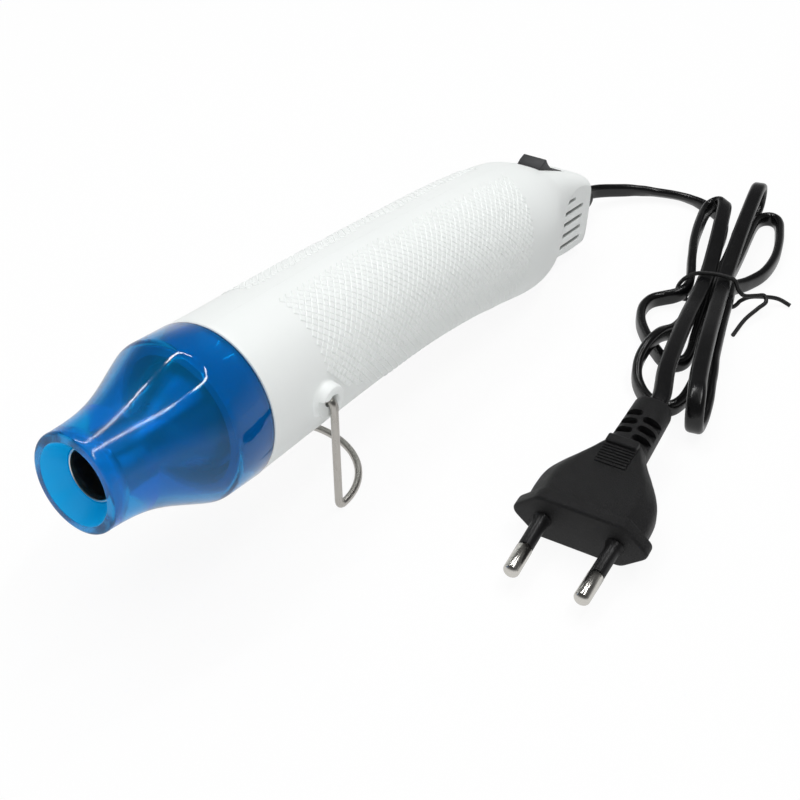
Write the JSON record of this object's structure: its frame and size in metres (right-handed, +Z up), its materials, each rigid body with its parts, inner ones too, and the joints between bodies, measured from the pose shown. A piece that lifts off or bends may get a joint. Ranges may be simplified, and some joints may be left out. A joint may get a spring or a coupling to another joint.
{
  "type": "hot air tool",
  "caption": "Slim corded hot air tool with a clear blue nozzle shield, white two-part grip, tail rocker switch, folding wire stand and a tied flat lead with a plug.",
  "frame": {"origin": "on the table, under the middle of the tool and its stand, with the cord and plug left out", "axes": "+X from the nozzle to the tail along the table, +Z up, -Y the side with the lead and plug"},
  "size_m": [0.2706, 0.1196, 0.0567],
  "materials": {
    "shield_blue": "glossy tinted clear plastic",
    "outlet_steel": "heat-darkened drawn steel",
    "mica": "pressed mica sheet",
    "heater_wire": "resistance wire",
    "ceramic": "fired ceramic",
    "shell_white": "satin moulded, diamond grip on the sides",
    "screw_steel": "zinc plated",
    "fan_plastic": "moulded",
    "shaft_steel": "ground",
    "motor_metal": "zinc plated",
    "black_plastic": "moulded",
    "terminal_brass": "stamped",
    "holder_plastic": "moulded",
    "board_brown": "phenolic board",
    "rocker_grey": "satin moulded",
    "gland_black": "satin",
    "stand_wire": "bright drawn wire",
    "cord_black": "semi-gloss vinyl",
    "tie_black": "coated wire",
    "plug_black": "matte moulded vinyl",
    "pin_bright": "nickel plated",
    "sleeve_black": "satin"
  },
  "bodies": {
    "tool": {"nozzle_shield": "shield_blue", "outlet_tube": "outlet_steel", "mica_sleeve": "mica", "mica_card_upright": "mica", "mica_card_flat": "mica", "heater_coil": "heater_wire", "heater_holder": "ceramic", "thermal_fuse": "ceramic", "left_shell": "shell_white", "right_shell": "shell_white", "screw_1": "screw_steel", "screw_2": "screw_steel", "screw_3": "screw_steel", "screw_4": "screw_steel", "motor_can": "motor_metal", "motor_end_cap": "black_plastic", "switch_body": "black_plastic", "diode_1": "black_plastic", "diode_2": "black_plastic", "diode_3": "black_plastic", "diode_4": "black_plastic", "motor_terminal_1": "terminal_brass", "motor_terminal_2": "terminal_brass", "switch_terminal_1": "terminal_brass", "switch_terminal_2": "terminal_brass", "motor_holder": "holder_plastic", "rectifier_board": "board_brown", "cord_gland": "gland_black", "cord_lead": "cord_black", "cord_hank": "cord_black", "cord_tail": "cord_black", "twist_tie": "tie_black", "plug_body": "plug_black", "plug_pin_1": "pin_bright", "plug_pin_2": "pin_bright", "pin_sleeve_1": "sleeve_black", "pin_sleeve_2": "sleeve_black"},
    "stand": {"wire_stand": "stand_wire"},
    "rocker": {"rocker": "rocker_grey"},
    "rotor": {"fan_impeller": "fan_plastic", "motor_shaft": "shaft_steel"}
  },
  "joints": [
    {"name": "stand_fold", "type": "hinge", "parent": "tool", "child": "stand", "pos_m": [-0.05719, 0, 0.0336], "axis": [0, 1, 0], "range_deg": [0, 95]},
    {"name": "rocker_tip", "type": "hinge", "parent": "tool", "child": "rocker", "pos_m": [0.08046, 0, 0.02796], "axis": [0, -1, 0], "range_deg": [0, 26]},
    {"name": "rotor_spin", "type": "hinge", "parent": "tool", "child": "rotor", "pos_m": [-0.00801, 0, 0.03099], "axis": [0.995, 0, -0.0996], "continuous": true}
  ]
}
